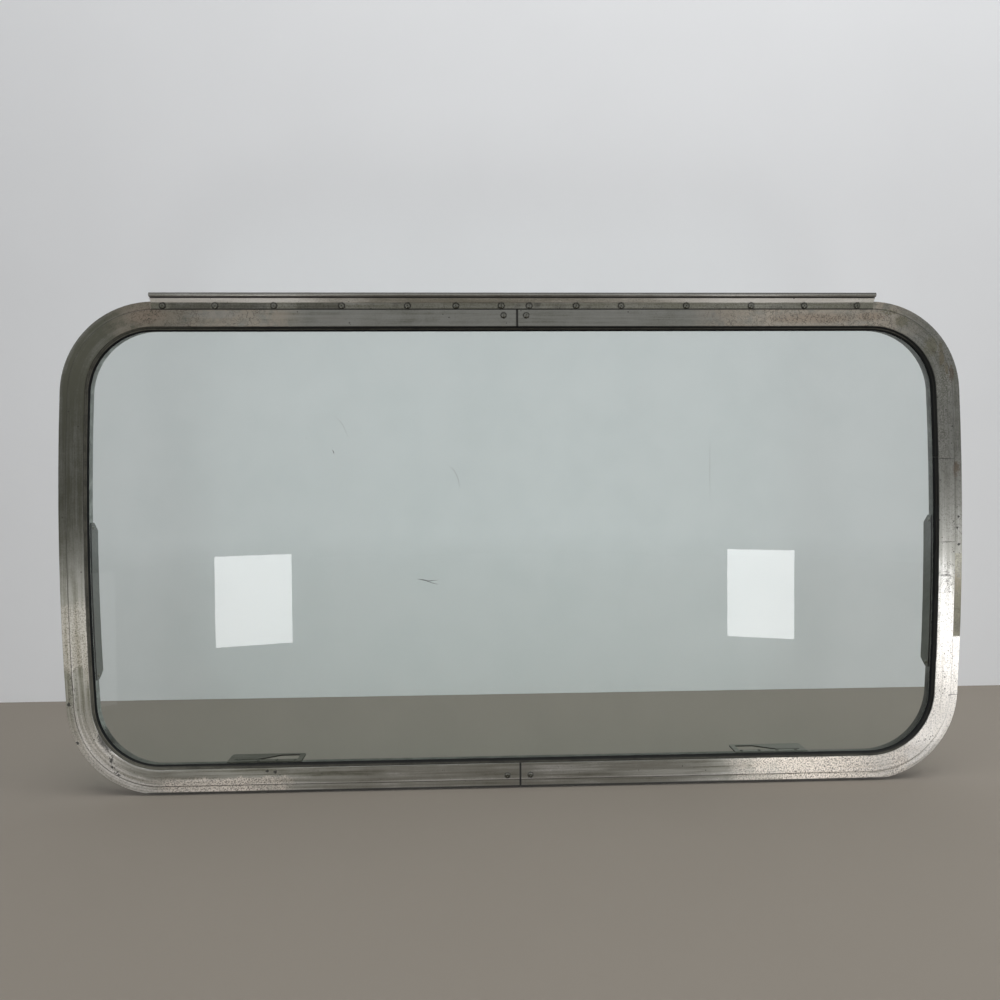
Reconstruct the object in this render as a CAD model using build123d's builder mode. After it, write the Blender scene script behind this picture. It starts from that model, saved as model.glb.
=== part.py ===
from build123d import *
import os
from math import asin, atan2, cos, degrees, pi, sin, tan

# Top-hung caravan window, seen from outside along +Y, with +Z up and +Y into the caravan.
# Two lengths of one aluminium extrusion are bent round a rubber-glazed pane and joined end to end
# at the middle of the top and of the bottom. The origin is on the back of the top flange.

# Frame outline
frame_width = 1016.0
frame_height = 546.0
corner_radius = 103.0
side_radius = 3450.0  # the sides bow outwards a little between the bends
joint_x = -1.0
joint_gap = 1.0

# Rail section: insets run from the outer edge towards the glass, depths from the face to the inside
wall = 1.5
flange_width = 9.0
flange_step = 1.8  # the flange stands back from the face, to take the hinge
face_width = 19.0
pocket_depth = 6.0  # how far the pocket reaches behind the face's inner edge
pocket_width = 8.0
leg_reach = 6.5  # the leg behind the pane that carries the stay plates and keepers
leg_wall = 2.5
shoulder_radius = 1.2  # where the face steps back to the flange
face_edge_radius = 0.6
flange_chamfer = 0.4

# Glazing
pane_thickness = 4.0
seal_leg = 2.0
seal_base = 1.5
seal_clearance = 0.1
lip_overhang = 4.8
lip_set_back = 0.4  # the lip starts just behind the face
valley_overhang = 2.7  # the lip has two ridges, with a valley between them
valley_set_back = 1.6
ridge_bulge = 0.4
rear_lip_overhang = 1.6
seal_joint_height = 96.5  # the seal's ends meet on the right, above the frame's middle
seal_joint_gap = 0.7

# Joiners inside the hollow rails
joiner_length = 90.0
joiner_depth = 6.0
joiner_clearance = 0.2
joiner_chamfer = 1.0

# Hinge rail: heights run up from the frame's outer edge, depths forward of the flange
hinge_length = 804.5
hinge_wall = 1.6
hinge_foot = -8.8
hinge_bend = -1.9
hinge_bend_radius = 0.8
web_forward = 3.8
web_rise = 4.4
bead_radius = 2.4
bead_forward = 4.6
bead_height = 5.8
neck_width = 1.2
neck_set_back = 0.6

# Stay plates on the side legs
plate_thickness = 1.5
stay_length = 176.0
stay_middle = -58.0  # from the frame's middle height
stay_width = 14.4
stay_end_rise = 9.0
stay_end_run = 8.0

# Catch keepers on the bottom leg, with a ramped slot for the catch's tongue
keeper_middle = 290.0
keeper_length = 84.0
keeper_width = 24.0
keeper_foot = 6.0
keeper_strap = 4.0
keeper_end = 6.0
keeper_flat = 21.0
keeper_ramp = 24.5
keeper_slit = 26.0  # beyond the ramp the slot runs on as a slit
keeper_slit_width = 1.2
keeper_corner = 3.0

# Derived places
half_height = frame_height / 2
middle_z = flange_width / 2 - half_height
face_inset = flange_width + face_width
leg_inset = face_inset + leg_wall
pocket_inset = face_inset - pocket_depth
chamber_inset = flange_width + wall
chamber_end_inset = pocket_inset - wall
flange_y = -wall
face_y = flange_y - flange_step
pocket_front_y = face_y + wall
pocket_back_y = pocket_front_y + pocket_width
rear_y = pocket_back_y + wall
leg_back_y = rear_y + leg_reach
pane_front_y = pocket_front_y + seal_leg
pane_back_y = pane_front_y + pane_thickness
side_turn = asin((half_height - corner_radius) / (side_radius - corner_radius))
side_centre_x = frame_width / 2 - side_radius
bend_x = side_centre_x + (side_radius - corner_radius) * cos(side_turn)
bend_z = half_height - corner_radius
bend_end_x = bend_x + corner_radius * cos(side_turn)
bend_end_z = bend_z + corner_radius * sin(side_turn)


def across_rail(turn, x, z, angle):
    """Plane across the rail at an outline point: local x runs into the window, local y to the inside."""
    return Plane(
        origin=(turn * x, 0, middle_z + turn * z),
        x_dir=(-turn * cos(angle), 0, -turn * sin(angle)),
        z_dir=(turn * sin(angle), 0, -turn * cos(angle)),
    )


def bend_axis(turn, x, z):
    """Axis of a bend, through its centre and square to the window."""
    return Axis((turn * x, 0, middle_z + turn * z), (0, 1, 0))


def run_half_way_round(profile, turn, first_x, last_x):
    """Run a profile clockwise through a straight, a bend, a bowed side, a bend and a straight.

    turn is 1 for the right half, from the top joint, and -1 for the left half, from the bottom joint.
    """
    corner_arc = 90 - degrees(side_turn)
    extrude(across_rail(turn, first_x, half_height, pi / 2) * profile, amount=bend_x - first_x)
    revolve(
        across_rail(turn, bend_x, half_height, pi / 2) * profile,
        axis=bend_axis(turn, bend_x, bend_z),
        revolution_arc=corner_arc,
    )
    revolve(
        across_rail(turn, bend_end_x, bend_end_z, side_turn) * profile,
        axis=bend_axis(turn, side_centre_x, 0),
        revolution_arc=2 * degrees(side_turn),
    )
    revolve(
        across_rail(turn, bend_end_x, -bend_end_z, -side_turn) * profile,
        axis=bend_axis(turn, bend_x, -bend_z),
        revolution_arc=corner_arc,
    )
    extrude(across_rail(turn, bend_x, -half_height, -pi / 2) * profile, amount=bend_x - last_x)


# Rail profile: stepped face, outer flange, hollow chamber, glazing pocket and rear leg
with BuildSketch() as rail_profile:
    with BuildLine():
        Polyline(
            (0, flange_y + flange_chamfer),
            (flange_chamfer, flange_y),
            (flange_width, flange_y),
            (flange_width, face_y),
            (face_inset, face_y),
            (face_inset, pocket_front_y),
            (pocket_inset, pocket_front_y),
            (pocket_inset, pocket_back_y),
            (leg_inset, pocket_back_y),
            (leg_inset, leg_back_y),
            (face_inset, leg_back_y),
            (face_inset, rear_y),
            (flange_width, rear_y),
            (flange_width, 0),
            (0, 0),
            close=True,
        )
    make_face()
    with BuildLine():
        Polyline(
            (chamber_inset, pocket_front_y),
            (chamber_end_inset, pocket_front_y),
            (chamber_end_inset, pocket_back_y),
            (chamber_inset, pocket_back_y),
            close=True,
        )
    make_face(mode=Mode.SUBTRACT)
    fillet(rail_profile.vertices().group_by(Axis.Y)[0].sort_by(Axis.X)[-1], face_edge_radius)
    fillet(rail_profile.vertices().group_by(Axis.Y)[0].sort_by(Axis.X)[0], shoulder_radius)

with BuildPart() as frame_right:
    run_half_way_round(
        rail_profile.sketch, 1, joint_x + joint_gap / 2, joint_x + joint_gap / 2
    )
frame_right.part.label = "frame_right"

with BuildPart() as frame_left:
    run_half_way_round(
        rail_profile.sketch, -1, -joint_x + joint_gap / 2, -joint_x + joint_gap / 2
    )
frame_left.part.label = "frame_left"

# Joiners: bars inside the hollow rails, riveted through the face on each side of the joints
with BuildPart() as joiner_top:
    with BuildSketch(across_rail(1, joint_x - joiner_length / 2, half_height, pi / 2)):
        with BuildLine():
            Polyline(
                (chamber_inset + joiner_clearance, pocket_front_y),
                (chamber_end_inset - joiner_clearance, pocket_front_y),
                (chamber_end_inset - joiner_clearance, pocket_front_y + joiner_depth),
                (chamber_inset + joiner_clearance, pocket_front_y + joiner_depth),
                close=True,
            )
        make_face()
    extrude(amount=joiner_length)
    bar_ends = joiner_top.faces().filter_by(Axis.X)
    chamfer([edge for end in bar_ends for edge in end.edges().sort_by(Axis.Y)[1:]], joiner_chamfer)
joiner_top.part.label = "joiner_top"

with BuildPart() as joiner_bottom:
    mirror(joiner_top.part, about=Plane.XY.offset(middle_z))
joiner_bottom.part.label = "joiner_bottom"

# Glazing seal: a channel of rubber round the pane's edge, with a lip on each side of the glass
seal_inset = pocket_inset + seal_clearance
groove_inset = seal_inset + seal_base
lip_root = face_inset + seal_clearance
lip_tip = face_inset + lip_overhang
lip_valley = face_inset + valley_overhang
valley_y = face_y + valley_set_back
lip_root_y = face_y + lip_set_back
rear_lip_tip = face_inset + rear_lip_overhang
with BuildSketch() as seal_profile:
    with BuildLine():
        Polyline(
            (groove_inset, pane_back_y),
            (groove_inset, pane_front_y),
            (lip_tip, pane_front_y),
        )
        SagittaArc((lip_tip, pane_front_y), (lip_valley, valley_y), ridge_bulge)
        SagittaArc((lip_valley, valley_y), (lip_root, lip_root_y), ridge_bulge)
        Polyline(
            (lip_root, lip_root_y),
            (lip_root, pocket_front_y),
            (seal_inset, pocket_front_y),
            (seal_inset, pocket_back_y),
            (rear_lip_tip, pocket_back_y),
            (rear_lip_tip, pane_back_y),
            (groove_inset, pane_back_y),
        )
    make_face()

with BuildPart() as glazing_seal:
    run_half_way_round(seal_profile.sketch, 1, 0, 0)
    run_half_way_round(seal_profile.sketch, -1, 0, 0)
    with Locations((frame_width / 2 - face_inset, pane_front_y, middle_z + seal_joint_height)):
        Box(2 * face_inset, 2 * pocket_width, seal_joint_gap, mode=Mode.SUBTRACT)
glazing_seal.part.label = "glazing_seal"

# Pane: the outline of the seal's groove
pane_inset = groove_inset + seal_clearance
with BuildPart() as glass_pane:
    with BuildSketch(Plane.XZ.offset(-pane_back_y)):
        with BuildLine():
            for side in (1, -1):
                face_angle = 0 if side == 1 else 180
                Line(
                    (-bend_x, middle_z + side * (half_height - pane_inset)),
                    (bend_x, middle_z + side * (half_height - pane_inset)),
                )
                CenterArc(
                    (side * side_centre_x, middle_z),
                    side_radius - pane_inset,
                    face_angle - degrees(side_turn),
                    2 * degrees(side_turn),
                )
                for level in (1, -1):
                    CenterArc(
                        (side * bend_x, middle_z + level * bend_z),
                        corner_radius - pane_inset,
                        face_angle + side * level * degrees(side_turn),
                        side * level * (90 - degrees(side_turn)),
                    )
        make_face()
    extrude(amount=pane_thickness)
glass_pane.part.label = "glass_pane"

# Hinge rail: a flange riveted in the step along the top, a web that leans outwards, and a round bead
top_edge_z = flange_width / 2
hinge_front_y = flange_y - hinge_wall
web_front_y = hinge_front_y - web_forward
bend_front_z = top_edge_z + hinge_bend
web_top_z = bend_front_z + web_rise
web_lean = atan2(web_forward, web_rise)
bend_back_z = bend_front_z + hinge_wall * tan(web_lean / 2)
neck_front_y = web_front_y + neck_set_back
neck_back_y = neck_front_y + neck_width
neck_back_z = bend_back_z + (flange_y - neck_back_y) / tan(web_lean)
bead_y = hinge_front_y - bead_forward
bead_z = top_edge_z + bead_height
with BuildPart() as hinge_rail:
    with BuildSketch(Plane.YZ.offset(-hinge_length / 2)) as hinge_profile:
        with BuildLine():
            Polyline(
                (flange_y, top_edge_z + hinge_foot),
                (hinge_front_y, top_edge_z + hinge_foot),
                (hinge_front_y, bend_front_z),
                (web_front_y, web_top_z),
                (neck_front_y, web_top_z + neck_set_back),
                (neck_front_y, bead_z),
                (neck_back_y, bead_z),
                (neck_back_y, neck_back_z),
                (flange_y, bend_back_z),
                close=True,
            )
        make_face()
        bends = hinge_profile.vertices().filter_by_position(Axis.Y, bend_front_z, bend_back_z)
        fillet(bends, hinge_bend_radius)
        with Locations((bead_y, bead_z)):
            Circle(bead_radius)
    extrude(amount=hinge_length)
hinge_rail.part.label = "hinge_rail"

# Stay plates: sheet on the inside of each side leg, following its bow, with sloped ends
stay_outer_radius = side_radius - leg_inset
stay_half_angle = degrees(stay_length / 2 / stay_outer_radius)
stay_middle_angle = degrees(asin(stay_middle / stay_outer_radius))
with BuildPart() as stay_plate_right:
    with BuildSketch(Plane.XZ.offset(-rear_y)):
        with BuildLine():
            first_angle = stay_middle_angle - stay_half_angle
            outer = CenterArc(
                (side_centre_x, middle_z), stay_outer_radius, first_angle, 2 * stay_half_angle
            )
            inner = CenterArc(
                (side_centre_x, middle_z),
                stay_outer_radius - plate_thickness,
                first_angle,
                2 * stay_half_angle,
            )
            Line(outer @ 0, inner @ 0)
            Line(outer @ 1, inner @ 1)
        make_face()
    extrude(amount=-stay_width)
    rear_corners = stay_plate_right.edges().filter_by(Axis.X, tolerance=5).group_by(Axis.Y)[-1]
    for corner in rear_corners:
        chamfer(corner, stay_end_run, stay_end_rise)
stay_plate_right.part.label = "stay_plate_right"

with BuildPart() as stay_plate_left:
    mirror(stay_plate_right.part, about=Plane.YZ)
stay_plate_left.part.label = "stay_plate_left"

# Catch keepers: sheet on the bottom leg, its slot deep at the inner end and ramped to the outer end
keeper_z = middle_z - half_height + leg_inset
keeper_front_y = leg_back_y - keeper_foot
keeper_back_y = keeper_front_y + keeper_width
keeper_inner_x = keeper_middle - keeper_length / 2
keeper_outer_x = keeper_middle + keeper_length / 2
slot_inner_x = keeper_inner_x + keeper_end
ramp_x = slot_inner_x + keeper_flat
slit_outer_x = ramp_x + keeper_ramp + keeper_slit
with BuildPart() as catch_keeper_right:
    with BuildSketch(Plane.XY.offset(keeper_z)):
        with BuildLine():
            Polyline(
                (keeper_inner_x, keeper_front_y),
                (keeper_outer_x, keeper_front_y),
                (keeper_outer_x, keeper_back_y),
                (keeper_inner_x, keeper_back_y),
                close=True,
            )
        make_face()
        with BuildLine():
            Polyline(
                (slot_inner_x, leg_back_y),
                (slit_outer_x, leg_back_y),
                (slit_outer_x, leg_back_y + keeper_slit_width),
                (ramp_x + keeper_ramp, leg_back_y + keeper_slit_width),
                (ramp_x, keeper_back_y - keeper_strap),
                (slot_inner_x, keeper_back_y - keeper_strap),
                close=True,
            )
        make_face(mode=Mode.SUBTRACT)
    extrude(amount=plate_thickness)
    fillet(
        catch_keeper_right.edges().filter_by(Axis.Z).group_by(Axis.Y)[-1], keeper_corner
    )
catch_keeper_right.part.label = "catch_keeper_right"

with BuildPart() as catch_keeper_left:
    mirror(catch_keeper_right.part, about=Plane.YZ)
catch_keeper_left.part.label = "catch_keeper_left"

os.makedirs("parts", exist_ok=True)
for piece in (
    frame_left,
    frame_right,
    joiner_top,
    joiner_bottom,
    glazing_seal,
    glass_pane,
    hinge_rail,
    stay_plate_left,
    stay_plate_right,
    catch_keeper_left,
    catch_keeper_right,
):
    export_step(piece.part, f"parts/{piece.part.label}.step")
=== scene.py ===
"""Weathered top-hung caravan window: finishes, rivets and wear, with a stage, lights and a camera."""
import math
import random

import bmesh
import bpy
from mathutils import Euler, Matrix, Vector


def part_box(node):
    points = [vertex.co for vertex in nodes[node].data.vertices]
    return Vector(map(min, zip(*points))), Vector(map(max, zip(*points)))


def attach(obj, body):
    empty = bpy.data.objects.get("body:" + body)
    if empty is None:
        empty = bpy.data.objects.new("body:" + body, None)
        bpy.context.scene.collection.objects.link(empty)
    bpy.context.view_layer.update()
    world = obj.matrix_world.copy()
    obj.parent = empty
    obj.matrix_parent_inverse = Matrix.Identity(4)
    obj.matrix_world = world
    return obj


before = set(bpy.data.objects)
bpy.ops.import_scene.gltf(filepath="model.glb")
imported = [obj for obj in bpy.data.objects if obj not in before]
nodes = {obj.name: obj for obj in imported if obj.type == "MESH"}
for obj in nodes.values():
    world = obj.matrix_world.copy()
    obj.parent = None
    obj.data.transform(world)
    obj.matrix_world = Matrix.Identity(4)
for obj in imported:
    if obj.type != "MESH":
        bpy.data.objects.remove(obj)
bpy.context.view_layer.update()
random.seed(7)

MM = 0.001
AXES = {"x": 0, "y": 1, "z": 2}

# Places on the window, in metres, from the frame itself
frame_low, frame_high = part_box("frame_right")
hinge_low, hinge_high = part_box("hinge_rail")
pane_front_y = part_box("glass_pane")[0].y
stay_low, stay_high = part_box("stay_plate_right")
keeper_low, keeper_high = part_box("catch_keeper_right")
half_width = frame_high.x
top_z = frame_high.z
bottom_z = frame_low.z
middle_z = (top_z + bottom_z) / 2
face_y = frame_low.y

# Sizes of the rail and the hinge that the finish follows
corner_radius = 103 * MM
side_radius = 3450 * MM
flange_width = 9 * MM
flange_y = -1.5 * MM
face_inset = 28 * MM
lip_valley = 2.7 * MM
joint_x = -1 * MM
hinge_flange_y = -3.1 * MM
hinge_flange_top = 2 * MM
bead_width = 4.8 * MM
bend_z = (top_z - bottom_z) / 2 - corner_radius
side_bow = bend_z ** 2 / 2 / side_radius
bend_x = half_width - corner_radius - side_bow

# Rivet places, in millimetres
hinge_rivet_x = (-390, -333, -269, -195, -122.5, -69, -18.5, 12.5, 65, 115.5, 189, 262.5, 323, 383.5)
hinge_rivet_z = -0.7
joint_rivets = ((-16.1, -11.3), (9.2, -11.3), (-15.6, -527.5), (10.4, -527.5))
keeper_rivet_x = (256, 276.6, 297.4, 319.4)

# Rivet heads: radius and height, in metres
hinge_head = (3.1 * MM, 1.5 * MM)
hinge_tail = (2.2 * MM, 1.2 * MM)
joint_head = (2.9 * MM, 1.4 * MM)
stay_head = (2.2 * MM, 1.0 * MM)
keeper_head = (2.0 * MM, 0.9 * MM)


class Graph:
    """The nodes of a material or a world, added by short calls that each return an output socket."""

    def __init__(self, name, owners=bpy.data.materials, end="ShaderNodeOutputMaterial"):
        self.owner = owners.new(name)
        self.owner.use_nodes = True
        self.tree = self.owner.node_tree
        self.tree.nodes.clear()
        self.end = self.tree.nodes.new(end)

    def feed(self, socket, value):
        if isinstance(value, bpy.types.NodeSocket):
            self.tree.links.new(value, socket)
        else:
            socket.default_value = value

    def add(self, kind, inputs, **settings):
        node = self.tree.nodes.new(kind)
        for key, value in settings.items():
            setattr(node, key, value)
        for key, value in inputs.items():
            self.feed(node.inputs[key], value)
        return node

    def place(self):
        return self.add("ShaderNodeTexCoord", {}).outputs["Object"]

    def normal(self):
        return self.add("ShaderNodeNewGeometry", {}).outputs["Normal"]

    def split(self, vector):
        return self.add("ShaderNodeSeparateXYZ", {0: vector}).outputs

    def join(self, x, y, z):
        return self.add("ShaderNodeCombineXYZ", {0: x, 1: y, 2: z}).outputs[0]

    def math(self, operation, first, second=0.0):
        return self.add("ShaderNodeMath", {0: first, 1: second}, operation=operation).outputs[0]

    def vector(self, operation, first, second):
        node = self.add("ShaderNodeVectorMath", {0: first, 1: second}, operation=operation)
        return node.outputs["Vector"]

    def scaled(self, vector, factor):
        node = self.add("ShaderNodeVectorMath", {0: vector, "Scale": factor}, operation="SCALE")
        return node.outputs["Vector"]

    def length(self, vector):
        return self.add("ShaderNodeVectorMath", {0: vector}, operation="LENGTH").outputs["Value"]

    def distance(self, vector, point):
        node = self.add("ShaderNodeVectorMath", {0: vector, 1: point}, operation="DISTANCE")
        return node.outputs["Value"]

    def dot(self, first, second):
        node = self.add("ShaderNodeVectorMath", {0: first, 1: second}, operation="DOT_PRODUCT")
        return node.outputs["Value"]

    def noise(self, vector, scale, detail=2.0, roughness=0.5):
        inputs = {"Vector": vector, "Scale": scale, "Detail": detail, "Roughness": roughness}
        return self.add("ShaderNodeTexNoise", inputs).outputs[0]

    def streaks(self, vector, along, across, fineness, detail=2.0):
        """Noise that runs long along the piece and changes quickly across it."""
        inputs = {
            "Vector": self.scaled(vector, along),
            "W": self.math("MULTIPLY", across, fineness),
            "Scale": 1.0,
            "Detail": detail,
        }
        return self.add("ShaderNodeTexNoise", inputs, noise_dimensions="4D").outputs[0]

    def ease(self, value, start, stop, first=0.0, last=1.0):
        """A smooth step from first to last as value goes from start to stop."""
        inputs = {"Value": value, "From Min": start, "From Max": stop, "To Min": first, "To Max": last}
        return self.add("ShaderNodeMapRange", inputs, interpolation_type="SMOOTHSTEP").outputs[0]

    def band(self, value, start, stop, soft):
        """1 between start and stop, falling to 0 over soft on both sides."""
        rise = self.ease(value, start - soft, start)
        fall = self.ease(value, stop, stop + soft, 1.0, 0.0)
        return self.math("MULTIPLY", rise, fall)

    def around(self, value, spread):
        """A noise value moved to swing about zero, by spread in all."""
        return self.math("MULTIPLY", self.math("SUBTRACT", value, 0.5), spread)

    def total(self, *values):
        result = values[0]
        for value in values[1:]:
            result = self.math("ADD", result, value)
        return result

    def product(self, *values):
        result = values[0]
        for value in values[1:]:
            result = self.math("MULTIPLY", result, value)
        return result

    def most(self, *values):
        result = values[0]
        for value in values[1:]:
            result = self.math("MAXIMUM", result, value)
        return result

    def least(self, *values):
        result = values[0]
        for value in values[1:]:
            result = self.math("MINIMUM", result, value)
        return result

    def colour(self, factor, first, second):
        node = self.add("ShaderNodeMix", {0: factor}, data_type="RGBA")
        for socket, value in zip(node.inputs[6:8], (first, second)):
            self.feed(socket, value if isinstance(value, bpy.types.NodeSocket) else (*value, 1.0))
        return node.outputs[2]

    def value(self, factor, first, second):
        node = self.add("ShaderNodeMix", {0: factor, 2: first, 3: second}, data_type="FLOAT")
        return node.outputs[0]

    def bump(self, height, depth):
        inputs = {"Height": height, "Distance": depth, "Strength": 1.0}
        return self.add("ShaderNodeBump", inputs).outputs[0]

    def principled(self, inputs):
        shader = self.add("ShaderNodeBsdfPrincipled", inputs).outputs[0]
        self.feed(self.end.inputs["Surface"], shader)
        return shader


# Metal: olive oxide, worn metal, bright wear, pits and streaks, and dark colours for dirt and for painted
# shade
oxide_colour = (0.195, 0.195, 0.15)
metal_colour = (0.45, 0.45, 0.41)
bright_colour = (0.9, 0.895, 0.88)
crust_dark = (0.14, 0.118, 0.098)
crust_pale = (0.97, 0.89, 0.8)
pit_colour = (0.06, 0.055, 0.048)
# One dark colour for dirt and for painted shade alike
grime_and_shade_colour = (0.013, 0.0125, 0.011)
cut_edge_colour = (0.01, 0.01, 0.0095)
# Painted shade on the hinge's upward faces
top_shade_colour = (0.075, 0.072, 0.062)
relief_depth = 0.06 * MM

# Stains on the rails
warm_left = (0.5, 0.44, 0.355)
warm_right = (0.64, 0.565, 0.46)
pink_colour = (0.5, 0.4, 0.31)
olive_colour = (0.24, 0.225, 0.13)
mustard_colour = (0.26, 0.215, 0.125)
rust_colour = (0.2, 0.13, 0.078)
crack_colour = (0.055, 0.05, 0.041)
pale_streak_colour = (0.5, 0.49, 0.45)
pale_grain_colour = (0.66, 0.65, 0.6)
residue_low = (0.19, 0.182, 0.125)
residue_high = (0.5, 0.48, 0.36)
residue_rust_colour = (0.2, 0.15, 0.085)
residue_dirt_colour = (0.06, 0.053, 0.032)
# Legs behind the seal: a lit copy for the left and a shaded copy for the right, painted light and shade
lit_inside_left = (0.55, 0.57, 0.545)
shaded_inside_right = (0.27, 0.28, 0.265)
inside_ledge = (0.12, 0.12, 0.11)

# Rubber, glass and the marks on it
rubber_colour = (0.004, 0.0046, 0.005)
# Dust, and painted highlights on the lip
rubber_dust_and_highlight = (0.13, 0.127, 0.104)
glass_clean = (0.755, 0.8, 0.785)
glass_smeared = (0.73, 0.78, 0.765)
glass_for_lamps = (0.8, 0.855, 0.84, 1.0)
packed_dirt_colour = (0.008, 0.0077, 0.007)
dark_film_colour = (0.07, 0.068, 0.06)
pale_film_colour = (0.33, 0.34, 0.34)

# Sheet metal of the hardware: the left stay and the right keeper are lit copies of their sheet, painted
# light
lit_left_stay_tone = (0.165, 0.172, 0.163)
right_stay_tone = (0.12, 0.125, 0.117)
left_keeper_tone = (0.066, 0.061, 0.052)
lit_right_keeper_tone = (0.15, 0.144, 0.13)


class Metal:
    """Weathered aluminium in layers: the caller adds stains, grime with painted shade, and wear, then
    finishes it.
    """

    def __init__(self, name, across, outward=None):
        self.graph = g = Graph(name)
        self.place = g.place()
        self.outward = outward(g, self.place) if outward else None
        self.across = across(g, self.place, self.outward)
        self.patch = g.noise(self.place, 13.0, 4.0, 0.6)
        self.cloud = g.noise(self.place, 70.0, 4.0, 0.6)
        self.speck = g.noise(self.place, 580.0, 3.0, 0.65)
        self.grain = g.noise(self.place, 1300.0, 2.0, 0.6)
        self.grains = g.total(self.speck, g.around(self.grain, 0.5))
        self.streak = g.streaks(self.place, 9.0, self.across, 330.0, 3.0)
        self.brush = g.streaks(self.place, 45.0, self.across, 2200.0)

    def dots(self, scale, share, size):
        """Round dots in a share of the cells, scale cells to a metre, with radii of up to size cells."""
        g = self.graph
        cells = g.add("ShaderNodeTexVoronoi", {"Vector": self.place, "Scale": scale}).outputs
        chance = g.add("ShaderNodeSeparateColor", {0: cells["Color"]}).outputs
        radius = g.value(chance["Green"], 0.4 * size, size)
        inside = g.ease(g.math("DIVIDE", cells["Distance"], radius), 0.6, 1.0, 1.0, 0.0)
        return g.product(inside, g.math("LESS_THAN", chance["Red"], share))

    def scribbles(self, scale):
        """Thin wandering lines, where a noise crosses its middle value."""
        g = self.graph
        off_line = g.math("ABSOLUTE", g.around(g.noise(self.place, scale, 4.0, 0.65), 1.0))
        return g.ease(off_line, 0.006, 0.03, 1.0, 0.0)

    def blots(self, spots, ragged=1.0):
        """A mask over ovals on the face, each given as middle x, middle z, width and height in mm."""
        g = self.graph
        wobble = g.total(g.around(self.cloud, ragged), g.around(self.speck, 2 * ragged))
        masks = []
        for x, z, width, height in spots:
            offset = g.vector("SUBTRACT", self.place, (x * MM, 0.0, z * MM))
            spread = g.vector("MULTIPLY", offset, (2 / (width * MM), 0.0, 2 / (height * MM)))
            masks.append(g.ease(g.math("ADD", g.length(spread), wobble), 0.6, 1.2, 1.0, 0.0))
        return g.most(*masks)

    def rings(self, centres, head, reach):
        """A mask round rivet heads, full at their rim and gone at reach beyond it."""
        g = self.graph
        radius = head[0]
        nearest = g.least(*[g.distance(self.place, centre) for centre in centres])
        ragged = g.math("ADD", nearest, g.around(self.speck, 2.0 * MM))
        return g.ease(ragged, 1.05 * radius, radius + reach, 1.0, 0.0)

    def runs(self, value, stretches):
        """A mask over stretches of a coordinate, each given as its start, stop and softness in mm."""
        g = self.graph
        masks = [g.band(value, start * MM, stop * MM, soft * MM) for start, stop, soft in stretches]
        return g.most(*masks)

    def finish(
        self, shine, speckle, pitting, stains=(), grime_and_shade=0.0, weather_and_shade=None,
        roughness=0.34, anisotropy=0.6, gloss=0.5,
    ):
        """shine is 0 for oxide to 1 for bare metal, speckle 0 for smooth to 1, pitting the share of pits.

        The share of brightness left by weathering and painted shade scales the colour last, before the
        grime.
        """
        g = self.graph
        tone = g.total(
            shine,
            g.around(self.patch, 0.5),
            g.around(self.streak, 0.7),
            g.around(self.brush, 0.3),
            g.around(self.cloud, 0.3),
            g.around(self.speck, 0.3),
        )
        colour = g.colour(g.ease(tone, 0.0, 0.55), oxide_colour, metal_colour)
        colour = g.colour(g.ease(tone, 0.5, 1.1), colour, bright_colour)
        grains = g.ease(self.grains, 0.36, 0.54)
        crust = g.colour(grains, crust_dark, crust_pale)
        colour = g.colour(g.math("MULTIPLY", speckle, 0.8), colour, crust)
        share = g.product(pitting, g.ease(self.cloud, 0.4, 0.62))
        pits = g.most(self.dots(300.0, share, 0.3), g.product(self.dots(620.0, share, 0.36), 0.8))
        colour = g.colour(g.math("MULTIPLY", pits, 0.85), colour, pit_colour)
        metallic = g.math("SUBTRACT", 1.0, g.math("MULTIPLY", pits, 0.5))
        rough = g.total(
            roughness,
            g.around(self.streak, 0.2),
            g.around(self.brush, 0.12),
            g.math("MULTIPLY", speckle, 0.06),
            g.math("MULTIPLY", pits, 0.25),
        )
        for mask, stain_colour, metal_share in stains:
            colour = g.colour(mask, colour, stain_colour)
            metallic = g.value(mask, metallic, metal_share)
            rough = g.value(mask, rough, 0.85 - 0.5 * metal_share)
        if weather_and_shade is not None:
            colour = g.scaled(colour, weather_and_shade)
        # The grime mask darkens both with dirt and with painted shade: creases, edges and a contact
        # shadow
        colour = g.colour(grime_and_shade, colour, grime_and_shade_colour)
        metallic = g.value(grime_and_shade, metallic, 0.0)
        rough = g.value(grime_and_shade, rough, 0.75)
        height = g.total(
            g.math("MULTIPLY", self.grain, 0.25),
            g.product(grains, g.value(speckle, 0.1, 0.5)),
            g.math("MULTIPLY", self.brush, 0.12),
            g.math("MULTIPLY", self.streak, 0.25),
            g.math("MULTIPLY", pits, -0.8),
        )
        inputs = {
            "Base Color": colour,
            "Metallic": metallic,
            "Roughness": rough,
            "Anisotropic": anisotropy,
            "Specular IOR Level": gloss,
            "Normal": g.bump(height, relief_depth),
        }
        if self.outward is not None:
            inputs["Tangent"] = self.outward
        g.principled(inputs)
        return g.owner


def rail_outward(g, place):
    """From the line of bend centres out to a point of the rail, with the bowed sides made straight."""
    far = 1.0
    lowest = (-bend_x, -far, middle_z - bend_z)
    highest = (bend_x, far, middle_z + bend_z)
    nearest = g.vector("MAXIMUM", g.vector("MINIMUM", place, highest), lowest)
    from_middle = g.math("SUBTRACT", g.split(nearest)[AXES["z"]], middle_z)
    fall = g.math("DIVIDE", g.math("POWER", g.math("ABSOLUTE", from_middle), 2.0), 2 * side_radius)
    x, y, z = g.split(g.vector("SUBTRACT", place, nearest))
    bow = g.math("MULTIPLY", g.math("SIGN", x), g.math("SUBTRACT", side_bow, fall))
    return g.join(g.math("SUBTRACT", x, bow), 0.0, z)


def rail_inset(g, place, outward):
    """How far a point of the bent rail lies in from its outer edge."""
    return g.math("SUBTRACT", corner_radius, g.length(outward))
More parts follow.
